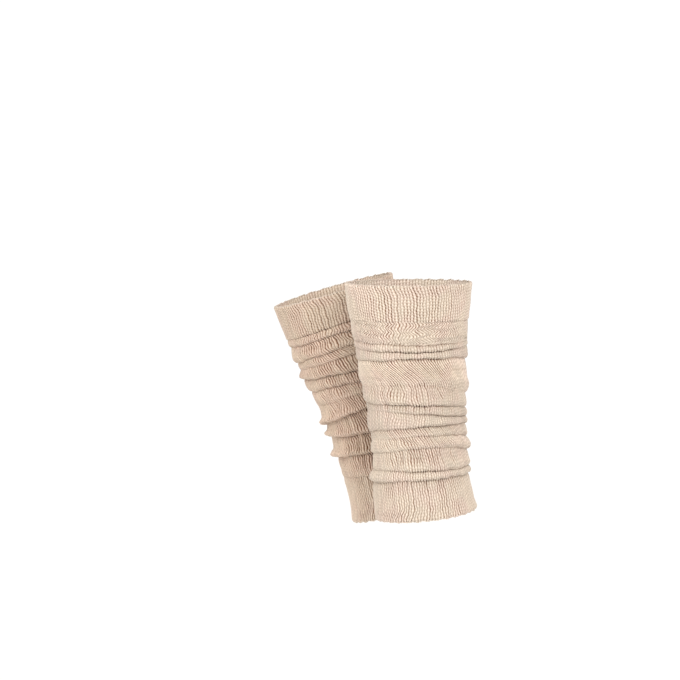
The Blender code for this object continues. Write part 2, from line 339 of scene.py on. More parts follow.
def knit_relief():
    """Geometry Nodes that raise the ribs and the stitches along a plain wall of cloth."""
    tree, given, result = new_tree(
        "knit relief",
        "GeometryNodeTree",
        (
            ("Wall", "NodeSocketGeometry", None),
            ("Rib Height", "NodeSocketFloat", 0.9 * MM),
            ("Stitch Height", "NodeSocketFloat", 0.2 * MM),
            ("Gather Depth", "NodeSocketFloat", 1.0 * MM),
            ("Crumple", "NodeSocketFloat", 0.2 * MM),
            ("Yarn", "NodeSocketMaterial", None),
        ),
        (("Knit", "NodeSocketGeometry"),),
    )

    def layer(title):
        node = tree.nodes.new("GeometryNodeInputNamedAttribute")
        node.data_type = "FLOAT"
        node.inputs["Name"].default_value = title
        return node.outputs["Attribute"]

    across = layer("rib_across")
    to_gap, swell = stitch_pattern(tree, across, layer("stitch_down"))
    own_depth = number(tree, "MULTIPLY_ADD", chance(tree, number(tree, "SUBTRACT", across, 0.5)), 0.7, 0.65)
    gap = number(tree, "MULTIPLY", number(tree, "POWER", to_gap, 1.7), own_depth)
    height = number(tree, "MULTIPLY", number(tree, "SUBTRACT", 0.5, gap), given.outputs["Rib Height"])
    on_rib = number(tree, "MULTIPLY_ADD", to_gap, -0.7, 1.0)
    stitch = number(tree, "MULTIPLY", number(tree, "MULTIPLY", swell, on_rib), given.outputs["Stitch Height"])
    lumps = number(tree, "MULTIPLY_ADD", noise(tree, 7 * MM, 2.0), 2.0, -1.0)
    lumps = number(tree, "MULTIPLY", lumps, given.outputs["Crumple"])
    raised = number(tree, "ADD", number(tree, "ADD", height, stitch), lumps)
    raised = number(tree, "MULTIPLY", raised, layer("rib_share"))
    gathered = number(tree, "MULTIPLY", layer("gather"), given.outputs["Gather Depth"])
    drawn_in = number(tree, "MULTIPLY", drawn_gaps(tree, layer("outer_ribs")), gathered)
    total = number(tree, "SUBTRACT", raised, drawn_in)

    move = tree.nodes.new("ShaderNodeVectorMath")
    move.operation = "SCALE"
    tree.links.new(tree.nodes.new("GeometryNodeInputNormal").outputs["Normal"], move.inputs["Vector"])
    tree.links.new(total, move.inputs["Scale"])
    shape = tree.nodes.new("GeometryNodeSetPosition")
    tree.links.new(given.outputs["Wall"], shape.inputs["Geometry"])
    tree.links.new(move.outputs["Vector"], shape.inputs["Offset"])
    realize = tree.nodes.new("GeometryNodeRealizeInstances")
    tree.links.new(shape.outputs["Geometry"], realize.inputs["Geometry"])
    dress = tree.nodes.new("GeometryNodeSetMaterial")
    tree.links.new(realize.outputs["Geometry"], dress.inputs["Geometry"])
    tree.links.new(given.outputs["Yarn"], dress.inputs["Material"])
    tree.links.new(dress.outputs["Geometry"], result.inputs["Knit"])
    return tree


def finish_with(piece, tree, **sizes):
    """Runs a tree on a piece with the named inputs, and leaves a plain mesh."""
    modifier = piece.modifiers.new(tree.name, "NODES")
    modifier.node_group = tree
    for item in tree.interface.items_tree:
        title = item.name.lower().replace(" ", "_")
        if item.in_out == "INPUT" and title in sizes:
            modifier[item.identifier] = sizes[title]
    depsgraph = bpy.context.evaluated_depsgraph_get()
    seen = piece.evaluated_get(depsgraph)
    mesh = bpy.data.meshes.new_from_object(seen, preserve_all_data_layers=True, depsgraph=depsgraph)
    piece.modifiers.clear()
    piece.data = mesh
    mesh.name = piece.name


def knit_colour():
    """A shader group that draws the stitches: yarn that varies a little from rib to rib, painted
    highlights on the rib crests and stitch swells, painted shade in the gaps between ribs that opens to
    dots between stitches and in the folds, and the height of the fibres.
    """
    tree, given, result = new_tree(
        "rib knit",
        "ShaderNodeTree",
        (
            ("Stitches", "NodeSocketVector", None),
            ("Place", "NodeSocketVector", None),
            ("Fold", "NodeSocketFloat", 0.0),
            ("Gather", "NodeSocketFloat", 0.0),
            ("Ribs", "NodeSocketFloat", 1.0),
            ("Yarn", "NodeSocketColor", (0.72, 0.605, 0.485, 1.0)),
            ("Rosy Yarn", "NodeSocketColor", (0.735, 0.585, 0.485, 1.0)),
            ("Pale Yarn", "NodeSocketColor", (0.77, 0.68, 0.59, 1.0)),
            ("Shade", "NodeSocketColor", (0.2, 0.092, 0.042, 1.0)),
            ("Deep", "NodeSocketColor", (0.085, 0.026, 0.011, 1.0)),
            ("Gap", "NodeSocketFloat", 0.8),
            ("Dots", "NodeSocketFloat", 0.6),
            ("Beads", "NodeSocketFloat", 0.2),
            ("Middles", "NodeSocketFloat", 0.2),
        ),
        (("Color", "NodeSocketColor"), ("Height", "NodeSocketFloat")),
    )

    def times(*values):
        product = values[0]
        for value in values[1:]:
            product = number(tree, "MULTIPLY", product, value)
        return product

    def scaled(value, factor, offset):
        return number(tree, "MULTIPLY_ADD", value, factor, offset)

    def mixed(share, first, second):
        node = tree.nodes.new("ShaderNodeMix")
        node.data_type = "RGBA"
        for value, socket in zip((share, first, second), (node.inputs[0], node.inputs[6], node.inputs[7])):
            tree.links.new(value, socket)
        return node.outputs[2]

    apart = tree.nodes.new("ShaderNodeSeparateXYZ")
    tree.links.new(given.outputs["Stitches"], apart.inputs["Vector"])
    across, down, place = apart.outputs["X"], apart.outputs["Y"], given.outputs["Place"]
    to_gap, swell = stitch_pattern(tree, across, down)
    crest = number(tree, "SUBTRACT", 1.0, blend_in(tree, to_gap, 0.1, 0.75))
    own, gap_own = chance(tree, across), chance(tree, number(tree, "SUBTRACT", across, 0.5))
    gather = number(tree, "MAXIMUM", given.outputs["Gather"], 0.0)

    patch = blend_in(tree, noise(tree, 24 * MM, 2.0, place), 0.4, 0.62)
    yarn = mixed(patch, given.outputs["Yarn"], given.outputs["Rosy Yarn"])
    # Painted highlight: rib crests and the tops of the stitch swells are lighter and mixed towards a paler
    # yarn.
    beads = times(number(tree, "SUBTRACT", swell, 0.5), given.outputs["Beads"])
    yarn = mixed(times(crest, scaled(beads, 2.9, 0.35)), yarn, given.outputs["Pale Yarn"])
    fuzz = noise(tree, 0.9 * MM, 3.0, place)
    tone = number(tree, "ADD", scaled(crest, 0.14, 0.82), beads)
    tone = number(tree, "ADD", tone, scaled(fuzz, 0.28, -0.14))
    tone = number(tree, "ADD", tone, scaled(own, 0.1, -0.05))
    # Painted shade: darker where the ribs are gathered, and darker where less of the ribs' relief shows.
    tone = number(tree, "SUBTRACT", tone, times(gather, 0.05))
    tone = number(tree, "ADD", tone, scaled(given.outputs["Ribs"], 0.15, -0.15))
    middle = number(tree, "SUBTRACT", 1.0, blend_in(tree, to_gap, 0.0, 0.3))
    fine = blend_in(tree, noise(tree, 9 * MM, 1.0, place), 0.4, 0.6)
    tone = number(tree, "SUBTRACT", tone, times(middle, fine, given.outputs["Middles"]))
    toned = tree.nodes.new("ShaderNodeVectorMath")
    toned.operation = "SCALE"
    tree.links.new(yarn, toned.inputs["Vector"])
    tree.links.new(tone, toned.inputs["Scale"])

    # Painted shade in the gaps between ribs, opening to dots between stitches, deeper in gaps drawn in by
    # gathering.
    unbroken = number(tree, "SUBTRACT", 1.0, given.outputs["Dots"])
    dots = scaled(swell_at(tree, down, gap_own), given.outputs["Dots"], unbroken)
    bold = scaled(blend_in(tree, noise(tree, 12 * MM, 1.0, place), 0.35, 0.65), 0.8, 0.55)
    gap = times(blend_in(tree, to_gap, 0.48, 0.95), given.outputs["Gap"])
    open_gap = times(gap, scaled(gap_own, 0.8, 0.55), dots, bold)
    open_gap = times(open_gap, scaled(gather, 0.5, 1.0), given.outputs["Ribs"])
    drawn = times(drawn_gaps(tree, across), gather, 0.62)
    # Painted shade in the folds: towards Shade, the darkest towards Deep, in dashes, lighter where rib crests
    # cross.
    dashes = scaled(blend_in(tree, noise(tree, 5 * MM, 1.0, place), 0.35, 0.6), 0.45, 0.5)
    fold = times(given.outputs["Fold"], scaled(times(crest, own), -0.75, 1.0), dashes)
    shaded = number(tree, "MAXIMUM", number(tree, "MAXIMUM", open_gap, drawn), fold)
    shaded = number(tree, "MINIMUM", shaded, 1.0)
    colour = mixed(shaded, toned.outputs["Vector"], given.outputs["Shade"])
    deepest = blend_in(tree, fold, 0.45, 1.0)
    tree.links.new(mixed(deepest, colour, given.outputs["Deep"]), result.inputs["Color"])

    height = number(tree, "ADD", times(beads, 2.0), times(fuzz, 0.5))
    height = number(tree, "SUBTRACT", height, times(blend_in(tree, to_gap, 0.5, 1.0), 0.8))
    tree.links.new(height, result.inputs["Height"])
    return tree


KNIT_COLOUR = knit_colour()


def yarn_material(name, shade_tint=(1.0, 1.0, 1.0), counted=True, **strengths):
    """Matte cream cotton-like yarn. Its softness is a little sheen on the shader itself. The tint
    multiplies the three yarn colours; on the right tube it is painted shade. Where stitches aren't
    counted, it is plain yarn.
    """
    material = bpy.data.materials.new(name)
    material.use_nodes = True
    tree = material.node_tree
    surface = tree.nodes["Principled BSDF"]
    surface.inputs["Roughness"].default_value = 0.95
    surface.inputs["Specular IOR Level"].default_value = 0.2
    surface.inputs["Sheen Weight"].default_value = 0.12
    surface.inputs["Sheen Roughness"].default_value = 0.6
    knit = tree.nodes.new("ShaderNodeGroup")
    knit.node_tree = KNIT_COLOUR
    knit.inputs["Ribs"].default_value = 0.0
    for title, strength in strengths.items():
        knit.inputs[title.title()].default_value = strength
    for title in ("Yarn", "Rosy Yarn", "Pale Yarn"):
        own = knit.inputs[title].default_value
        own[:3] = [channel * share for channel, share in zip(own[:3], shade_tint)]
    if counted:
        stitches = tree.nodes.new("ShaderNodeUVMap")
        stitches.uv_map = "knit"
        tree.links.new(stitches.outputs["UV"], knit.inputs["Stitches"])
        for title, attribute in (("Fold", "fold"), ("Gather", "gather"), ("Ribs", "rib_share")):
            layer = tree.nodes.new("ShaderNodeAttribute")
            layer.attribute_name = attribute
            tree.links.new(layer.outputs["Fac"], knit.inputs[title])
    place = tree.nodes.new("ShaderNodeTexCoord")
    height = tree.nodes.new("ShaderNodeBump")
    height.inputs["Strength"].default_value = 0.8
    height.inputs["Distance"].default_value = 0.4 * MM
    tree.links.new(place.outputs["Object"], knit.inputs["Place"])
    tree.links.new(knit.outputs["Color"], surface.inputs["Base Color"])
    tree.links.new(knit.outputs["Height"], height.inputs["Height"])
    tree.links.new(height.outputs["Normal"], surface.inputs["Normal"])
    return material


# Painted shade: the right tube's yarn is tinted a little darker and warmer, not evenly from cuff to hem.
RIGHT_CUFF_SHADE_TINT = (0.925, 0.89, 0.855)
CUFF_YARN = {
    "left": yarn_material("left_cuff_rib_yarn", gap=1.0, dots=0.88, beads=0.24, middles=0.05),
    "right": yarn_material(
        "right_cuff_rib_yarn", RIGHT_CUFF_SHADE_TINT, gap=0.95, dots=0.75, beads=0.16, middles=0.05
    ),
}
EDGE_YARN = yarn_material("edge_yarn", counted=False, gap=0.0, dots=0.0, beads=0.0, middles=0.0)
KNIT_RELIEF = knit_relief()


def edge_links():
    """Geometry Nodes that lay one link of yarn at each point of a rim, each over the next."""
    tree, given, result = new_tree(
        "edge links",
        "GeometryNodeTree",
        (
            ("Rim", "NodeSocketGeometry", None),
            ("Link Length", "NodeSocketFloat", 3.4 * MM),
            ("Link Width", "NodeSocketFloat", 1.3 * MM),
            ("Yarn Thickness", "NodeSocketFloat", 0.75 * MM),
            ("Tilt", "NodeSocketFloat", math.radians(14)),
            ("Up", "NodeSocketVector", (0.0, 0.0, 1.0)),
            ("Yarn", "NodeSocketMaterial", None),
        ),
        (("Chain", "NodeSocketGeometry"),),
    )

    def joined(kind, **sources):
        node = tree.nodes.new(kind)
        for title, source in sources.items():
            socket = node.inputs[title.replace("_", " ").title()]
            if isinstance(source, (int, float, bool)):
                socket.default_value = source
            else:
                tree.links.new(source, socket)
        return node

    rim = joined("GeometryNodeMeshToCurve", mesh=given.outputs["Rim"])
    places = tree.nodes.new("GeometryNodeCurveToPoints")
    places.mode = "EVALUATED"
    tree.links.new(rim.outputs["Curve"], places.inputs["Curve"])
    along = joined("FunctionNodeAlignRotationToVector", vector=places.outputs["Tangent"])
    along.axis = "X"
    upright = joined(
        "FunctionNodeAlignRotationToVector",
        rotation=along.outputs["Rotation"], vector=given.outputs["Up"],
    )
    upright.axis, upright.pivot_axis = "Z", "X"
    turn = joined("ShaderNodeCombineXYZ", y=given.outputs["Tilt"])
    tilted = tree.nodes.new("FunctionNodeRotateRotation")
    tilted.rotation_space = "LOCAL"
    tree.links.new(upright.outputs["Rotation"], tilted.inputs["Rotation"])
    tree.links.new(turn.outputs["Vector"], tilted.inputs["Rotate By"])

    loop = joined("GeometryNodeCurvePrimitiveCircle", resolution=12, radius=0.5)
    size = joined(
        "ShaderNodeCombineXYZ", x=given.outputs["Link Length"], y=given.outputs["Link Width"], z=1.0
    )
    oval = joined("GeometryNodeTransform", geometry=loop.outputs["Curve"], scale=size.outputs["Vector"])
    half_thick = number(tree, "MULTIPLY", given.outputs["Yarn Thickness"], 0.5)
    thick = joined("GeometryNodeCurvePrimitiveCircle", resolution=6, radius=half_thick)
    link = joined(
        "GeometryNodeCurveToMesh", curve=oval.outputs["Geometry"], profile_curve=thick.outputs["Curve"]
    )
    laid = joined(
        "GeometryNodeInstanceOnPoints",
        points=places.outputs["Points"], instance=link.outputs["Mesh"], rotation=tilted.outputs["Rotation"],
    )
    realize = joined("GeometryNodeRealizeInstances", geometry=laid.outputs["Instances"])
    smooth = joined("GeometryNodeSetShadeSmooth", geometry=realize.outputs["Geometry"])
    dress = joined(
        "GeometryNodeSetMaterial", geometry=smooth.outputs["Geometry"], material=given.outputs["Yarn"]
    )
    tree.links.new(dress.outputs["Geometry"], result.inputs["Chain"])
    return tree


EDGE_LINKS = edge_links()
RIB_CRESTS = np.arange(RIBS) * math.tau / RIBS
AZIMUTHS = np.arange(CUFF_COLUMNS) * math.tau / CUFF_COLUMNS


def ease(share):
    """0 up to a share of 0, 1 from a share of 1 on, and smooth between them."""
    share = np.clip(share, 0.0, 1.0)
    return share * share * (3 - 2 * share)


def fade(share, reach):
    """1 at a share of 0, and smoothly down to 0 at `reach`."""
    return 1 - ease(share / reach)


def wavy_edge(leg, line, azimuth, count):
    """How far down an edge lies: along its line, with small waves in the knit."""
    return line_at(line, azimuth) + 0.3 * np.sin(count * azimuth + leg.ripple)


def nothing(share, azimuth):
    return 0.0


# How a cuff's ribs run, where its two edges lie, and how far its ribs reach past them.
Cuff = namedtuple("Cuff", "sway top bottom ends")


def cuff_face(leg, cuff, shares, outward, rib, fold=nothing, gather=nothing):
    """Rows of a cuff at shares of the way from its top line down to its bottom line."""
    share = shares[:, None]
    azimuth = AZIMUTHS + cuff.sway(share, AZIMUTHS) / TUBE_RADIUS
    start, end = cuff.top(azimuth), cuff.bottom(azimuth)
    down = start + (end - start) * share + cuff.ends(share)
    points = tube_points(leg, azimuth, down, outward(share, azimuth))
    full = np.ones_like(down)
    stitches = down.mean(axis=1) / COURSE
    return Face(points, stitches, full * rib, full * fold(share, azimuth), full * gather(share, azimuth))


def edge_chain(leg, node, azimuth, down, outward):
    """The cast-off edge: a chain of yarn along the rim, one link for each rib."""
    points = tube_points(leg, azimuth, down, outward)
    mesh = bpy.data.meshes.new(node + "_edge_chain")
    mesh.from_pydata(points.tolist(), [(rib, (rib + 1) % RIBS) for rib in range(RIBS)], [])
    chain = bpy.data.objects.new(mesh.name, mesh)
    bpy.context.scene.collection.objects.link(chain)
    up = Euler((leg.forward, leg.outward, 0.0)).to_matrix() @ Vector((0.0, 0.0, 1.0))
    finish_with(chain, EDGE_LINKS, up=up, yarn=EDGE_YARN)
    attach(chain, "root")
    return chain


def top_cuff(leg):
    length = 33.0

    def top(azimuth):
        return wavy_edge(leg, leg.rim, azimuth, count=31)

    def bottom(azimuth):
        return wavy_edge(leg, leg.cuff_end, azimuth, count=17)

    def ends(share):
        return -RIB_REACH * rib_ends(leg, AZIMUTHS) * fade(share, 0.05)

    def sway(share, azimuth):
        """The ribs lean for the first centimetre under the rim, and wander a little below it."""
        lean = -2.6 * fade(share, 0.32) * (0.55 + 0.45 * np.cos(azimuth - 1.0))
        return lean + 0.55 * wander(leg, azimuth, 0.8 * length * share)

    def lift(share, azimuth):
        """How far it stands out. Towards its end it sinks to the body where its step is low."""
        lost = 1 - shown_at(leg.cuff_step, azimuth)
        return CUFF_LIFT * (1 - lost * ease((share - 0.6) / 0.4))

    def outward(share, azimuth):
        rolled_rim = -ROUND_OUTSIDE * fade(share, 0.03)
        rolled_end = -ROUND_OUTSIDE * shown_at(leg.cuff_step, azimuth) * fade(1 - share, 0.035)
        return lift(share, azimuth) + rolled_rim + rolled_end

    def inward(share, azimuth):
        return lift(share, azimuth) - WALL + ROUND_INSIDE * fade(share, 0.05)

    def gather(share, azimuth):
        return leg.cuff_gather

    cuff = Cuff(sway, top, bottom, ends)
    shares = np.linspace(0.0, 1.0, round(length / CUFF_ROW))
    outside = cuff_face(leg, cuff, shares, outward, 1 - 0.5 * leg.cuff_gather, gather=gather)
    inside = cuff_face(leg, cuff, np.linspace(1.0, 0.0, CUFF_INSIDE_ROWS), inward, INSIDE_RIBS)
    node = leg.name + "_top_cuff"
    piece = knit_shell(node + "_knit", outside, inside)
    finish_with(
        piece, KNIT_RELIEF, rib_height=1.3 * MM, stitch_height=0.2 * MM, crumple=0.12 * MM,
        yarn=CUFF_YARN[leg.name],
    )
    rim = RIB_CRESTS + sway(0.0, RIB_CRESTS) / TUBE_RADIUS
    chain_down = top(rim) - CHAIN_REACH * rib_ends(leg, RIB_CRESTS)
    chain = edge_chain(leg, node, rim, chain_down, outward=-0.3)
    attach(piece, "root")
    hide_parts(node)


for leg in PAIR:
    top_cuff(leg)

# ------------------------------------------------------------------------------ bodies
# The slack of each tube, knitted on from the top cuff in the same yarn and ribs, which lean one
# way and then the other. It is pushed down into rolls with creases between them, some sharp under
# a drooping roll and some soft. It is made here in two lengths that meet in a crease.

BODY_COLUMNS = 600  # points round a body, five to a rib
BODY_ROW = 1.05  # the mean, as rows lie closer beside a crease
BODY_DRIFT = 0.7  # how much of their wander the body's ribs have
UPPER_CREASES = 5  # the upper length ends in this crease, counted from the top
STEEPEST_LEAN = 17.0  # the farthest that ribs go sideways over one roll
LIP_REACH = 1.15  # how much of each rib's own reach it goes past the lower edge of a roll
LOST_IN_FOLD = 0.3  # how much less the ribs show in a full fold

# A crease and the cloth above it, up to the crease before. First the line that it lies on, and how
# strongly it shows and how dark its painted shade is every 45 degrees from the front round by the left.
# Then how deep it dips, how far its roll stands out, how far the roll droops over it, and how
# late the roll swells. Last, how the ribs run down the cloth: how far they lean sideways, how many
# times they zigzag and how wide, how tightly they are gathered under the crease before, and how
# boldly they show. A value under 0 keeps the value beside it from spreading.
Crease = namedtuple("Crease", "line strength dark dip stand droop late lean zigzags width gather bold")
CREASES = {
    "left": (
        Crease(Line(50.0, 55.2, 56.5, 53.0), (0.5, 0.9, 1.0, 0.6, 0.2, 0.4, 0.6, 0.5),
               (0.2, 0.4, 0.9, 0.3, 0.2, 0.3, 0.4, 0.3), 0.8, 0.8, 0.3, 0.0, 0.0, 2.6, 2.1, 0.0, 1.0),
        Crease(Line(56.0, 60.7, 60.5, 58.6), (0.2, 0.95, 1.0, 0.4, 0.25, 0.5, 0.8, 0.5),
               (0.1, 0.6, 3.0, 0.1, 0.2, 0.4, 0.7, 0.4), 2.8, 1.8, 0.9, 0.0, 0.3, 0.0, 0.0, 0.0, 0.6),
        Crease(Line(67.0, 66.9, 73.5, 69.5), (0.4, 0.85, 0.95, 0.7, 0.9, 0.8, 0.7, 0.5),
               (0.2, 0.7, 1.8, 0.0, 0.4, 0.5, 0.7, 0.4), 2.6, 2.4, 0.9, 0.6, 0.0, 0.0, 0.0, 0.1, 0.45),
        Crease(Line(90.0, 94.5, 107.0, 96.0), (0.3, 0.3, 0.4, 0.8, 1.0, 0.8, 0.5, 0.4),
               (0.1, 0.1, 0.15, 0.1, 0.4, 0.4, 0.3, 0.2), 1.2, 3.4, 0.0, 0.8, 17.0, 0.0, 0.0, 0.1, 1.55),
        Crease(Line(106.8, 111.5, 119.5, 111.0), (0.7, 1.0, 0.8, 0.42, 0.7, 0.6, 0.7, 0.8),
               (0.5, 1.3, 1.6, -0.2, 0.3, 0.5, 0.6, 0.5), 2.4, 2.4, 1.1, 0.5, 3.0, 1.0, 1.4, 0.45, 0.75),
        Crease(Line(115.0, 121.0, 128.0, 121.0), (0.05, 0.35, 0.8, 0.9, 1.0, 0.8, 0.6, 0.3),
               (0.0, 0.1, 0.7, 0.6, 0.6, 0.5, 0.5, 0.2), 2.0, 2.2, 0.5, 0.0, -1.0, 0.0, 0.0, 0.7, 0.45),
        Crease(Line(134.5, 130.4, 135.0, 136.0), (0.5, 0.55, 1.0, 0.75, 0.6, 0.8, 1.0, 0.9),
               (0.0, 0.0, 1.6, 0.4, 0.4, 0.6, 0.8, 0.6), 1.8, 3.6, 1.0, 0.2, -2.0, 0.5, 1.2, 0.2, 0.42),
        Crease(Line(142.5, 141.0, 148.0, 146.5), (0.1, 0.3, 0.8, 1.0, 0.8, 0.6, 0.6, 0.3),
               (0.0, 0.0, 0.3, 0.2, 0.4, 0.3, 0.3, 0.1), 0.9, 1.4, 0.0, 0.6, 6.0, 0.0, 0.0, 0.6, 0.8),
        Crease(Line(156.0, 151.8, 160.5, 159.0), (0.4, 0.4, 0.6, 0.9, 1.0, 0.8, 0.7, 0.6),
               (0.0, 0.0, 0.1, 0.2, 0.4, 0.5, 0.5, 0.3), 1.4, 3.8, 0.3, 0.0, 5.0, 0.5, 1.2, 0.5, 1.0),
        Crease(Line(171.5, 173.0, 174.0, 174.5), (0.3, 0.6, 1.0, 1.0, 0.9, 0.8, 0.8, 0.5),
               (0.0, 0.1, 1.5, 2.0, 1.0, 0.6, 0.6, 0.3), 2.0, 2.6, 0.8, 0.9, 5.0, 0.5, 1.0, 0.6, 0.85),
        Crease(Line(182.0, 180.8, 181.5, 182.5), (0.8, 0.42, 0.75, 0.55, 0.7, 0.8, 0.9, 1.0),
               (0.0, -0.1, 0.6, 0.2, 0.4, 0.6, 0.7, 0.6), 1.8, 4.6, 0.9, 0.0, 0.0, 0.0, 0.0, 0.0, 0.6),
    ),
    "right": (
        Crease(Line(41.0, 38.0, 41.0, 42.0), (0.8, 0.9, 1.0, 0.8, 0.6, 0.6, 0.6, 0.7),
               (0.3, 0.5, 0.5, 0.4, 0.4, 0.4, 0.4, 0.3), 1.2, 1.4, 0.2, 0.0, 0.0, 1.0, 1.2, 0.2, 0.9),
        Crease(Line(56.5, 51.5, 55.0, 59.0), (1.0, 0.8, 0.6, 0.6, 0.6, 0.7, 0.8, 0.9),
               (0.4, 0.7, 0.6, 0.4, 0.4, 0.5, 0.5, 0.4), 1.4, 3.0, 0.3, 0.3, 3.0, 1.0, 1.6, 0.75, 1.3),
        Crease(Line(65.0, 62.0, 66.0, 68.0), (0.4, 0.6, 0.8, 0.6, 0.5, 0.4, 0.4, 0.4),
               (0.2, 0.4, 0.5, 0.4, 0.3, 0.3, 0.3, 0.2), 1.0, 1.2, 0.0, 0.0, 6.0, 1.0, 1.2, 0.3, 0.9),
        Crease(Line(73.5, 77.3, 80.0, 76.0), (1.0, 0.9, 0.8, 0.7, 0.6, 0.8, 0.9, 1.0),
               (0.8, 1.2, 1.0, 0.7, 0.6, 0.7, 0.8, 0.7), 2.4, 4.0, 1.1, 0.5, 5.0, 0.0, 0.0, 0.8, 1.1),
        Crease(Line(86.5, 88.0, 93.0, 91.0), (0.9, 1.0, 1.0, 0.9, 0.8, 0.8, 0.8, 0.9),
               (0.6, 1.1, 1.1, 0.7, 0.6, 0.6, 0.7, 0.6), 2.2, 2.2, 1.1, 0.4, 1.0, 0.0, 0.0, 0.75, 1.1),
        Crease(Line(104.0, 101.0, 105.0, 106.5), (0.6, 0.65, 0.7, 0.8, 0.8, 0.7, 0.7, 0.6),
               (0.1, 0.2, 0.3, 0.4, 0.4, 0.3, 0.2, 0.1), 0.6, 0.9, 0.0, 0.0, 2.0, 0.5, 1.5, 0.35, 1.0),
        Crease(Line(121.5, 114.5, 118.0, 125.0), (1.0, 0.9, 0.6, 0.5, 0.5, 0.6, 0.8, 0.9),
               (0.0, 0.1, 0.3, 0.4, 0.4, 0.5, 0.6, 0.5), 2.0, 6.2, 0.6, 1.25, 3.0, 0.5, 1.4, 0.55, 1.1),
        Crease(Line(135.0, 143.0, 146.0, 138.0), (1.0, 0.9, 0.6, 0.5, 0.5, 0.6, 0.8, 0.9),
               (0.0, 0.1, 0.3, 0.4, 0.4, 0.5, 0.6, 0.5), 2.0, 6.0, 0.5, 1.1, 6.0, 0.5, 0.8, 0.75, 1.3),
        Crease(Line(156.0, 161.0, 163.0, 160.0), (1.0, 0.8, 0.5, 0.4, 0.5, 0.6, 0.8, 0.9),
               (0.0, 0.1, 0.2, 0.3, 0.4, 0.5, 0.6, 0.5), 2.0, 6.4, 0.5, 1.3, 1.0, 0.5, 0.8, 0.95, 1.5),
        Crease(Line(178.5, 182.0, 183.0, 179.5), (0.5, 0.6, 0.7, 0.6, 0.5, 0.5, 0.5, 0.5),
               (0.1, 0.2, 0.2, 0.2, 0.2, 0.2, 0.2, 0.1), 1.2, 1.4, 0.0, 0.0, 0.0, 0.5, 1.0, 1.0, 1.2),
    ),
}

# Short creases that lie within one roll: the azimuth of the middle and half the length, both in
# degrees, how far down, how much lower the far end is than the middle, and how deep and wide.
Short = namedtuple("Short", "azimuth half_length down slope depth width")
SHORT_CREASES = {
    "left": (
        Short(78, 34, 160.5, -1.2, 0.9, 1.3),
        Short(25, 22, 84.0, 3.0, 0.6, 1.6),
        Short(128, 26, 82.0, 2.0, 0.7, 1.8),
        Short(60, 26, 101.0, 1.0, 0.5, 1.2),
        Short(200, 40, 88.0, -2.0, 1.2, 2.0),
        Short(290, 34, 78.0, 2.0, 0.9, 1.6),
        Short(230, 30, 128.0, 2.0, 1.0, 1.6),
        Short(320, 28, 147.0, -2.0, 0.9, 1.4),
        Short(250, 36, 165.0, 1.0, 0.9, 1.5),
    ),
    "right": (
        Short(40, 30, 46.0, -1.5, 0.9, 1.3),
        Short(20, 24, 71.0, 1.0, 0.7, 1.2),
        Short(50, 30, 96.0, -1.0, 0.8, 1.4),
        Short(200, 40, 100.0, 2.0, 1.0, 1.8),
        Short(140, 30, 130.0, 2.0, 1.0, 1.6),
        Short(280, 34, 112.0, -2.0, 1.0, 1.6),
        Short(240, 34, 150.0, 2.0, 1.0, 1.6),
        Short(330, 26, 170.0, 1.0, 0.8, 1.4),
    ),
}


def crease_line(leg, crease, azimuth):
    """Where a crease lies, with the small unevenness of cloth that fell by itself."""
    phase = crease.line.front + leg.ripple
    uneven = 0.3 * np.sin(6 * azimuth + phase) + 0.25 * np.sin(11 * azimuth + 1.7 * phase)
    return line_at(crease.line, azimuth) + uneven + 0.2 * np.sin(27 * azimuth + 2.3 * phase)


def flange(crease):
    """How thin the roll over a crease is, from 0 to 1. A thin one swells only at its lower edge."""
    return min(max(2.0 * (crease.late - 0.9), 0.0), 1.0)


def roll_swell(crease):
    """How much of its stand a roll has at about a third and two thirds of the way down to its
    crease. A late one has little there, and swells below.
    """
    return 0.45 - 0.38 * crease.late, 0.88 - 0.5 * crease.late


def roll_outline(leg, before, crease, azimuth):
    """The eight points that a roll's outline runs through, from the bottom of the crease before
    it to the bottom of its own: how far down, and how far out.
    """
    above, below = crease_line(leg, before, azimuth), crease_line(leg, crease, azimuth)
    height = below - above
    shown_before, shown = shown_at(before.strength, azimuth), shown_at(crease.strength, azimuth)
    dip_before, dip, stand = before.dip * shown_before, crease.dip * shown, crease.stand * shown
    droop_before, droop = before.droop * shown_before, crease.droop * shown
    soft, thin = np.clip(1 - droop, 0.0, 1.0), flange(crease)
    third, two_thirds = roll_swell(crease)
    return (
        (above, -dip_before),
        (above + droop_before + 0.07 * height, -0.5 * dip_before),
        (above + 0.30 * height, third * stand),
        (above + (0.58 + 0.14 * thin) * height, two_thirds * stand),
        (below - (0.13 + 0.12 * soft) * (1 - 0.5 * thin) * height, stand),
        (below + 0.6 * droop - 0.09 * soft * height, 0.66 * stand - 0.2 * dip),
        (below + droop - 0.03 * soft * height, 0.12 * stand - 0.6 * dip),
        (below, -dip),
    )


def outline_point(outline, place):
    """A point on the smooth curve through a roll's outline, at a place from 0 to 7 along it."""
    k = min(int(place), len(outline) - 2)
    t = place - k
    a, b, c, d = (outline[min(max(k + i, 0), len(outline) - 1)] for i in (-1, 0, 1, 2))
    return [between(*values, t) for values in zip(a, b, c, d)]


def rib_sway(crease, share, azimuth):
    """How far the ribs have gone sideways at a share of the way down the cloth over a crease."""
    uneven = 1 + 0.18 * np.sin(2 * azimuth + crease.line.left)
    lean = crease.lean * ease(share) * uneven
    out_of_step = 1.2 * (np.sin(4 * azimuth) + np.sin(9 * azimuth)) * math.sin(math.pi * share)
    # The arcsine of a sine runs straight from one turn to the next, as a zigzag does.
    zigzag = np.arcsin(0.97 * np.sin(math.tau * crease.zigzags * share + out_of_step)) / 1.33
    return lean + crease.width * zigzag * (1 + 0.4 * np.sin(5 * azimuth))


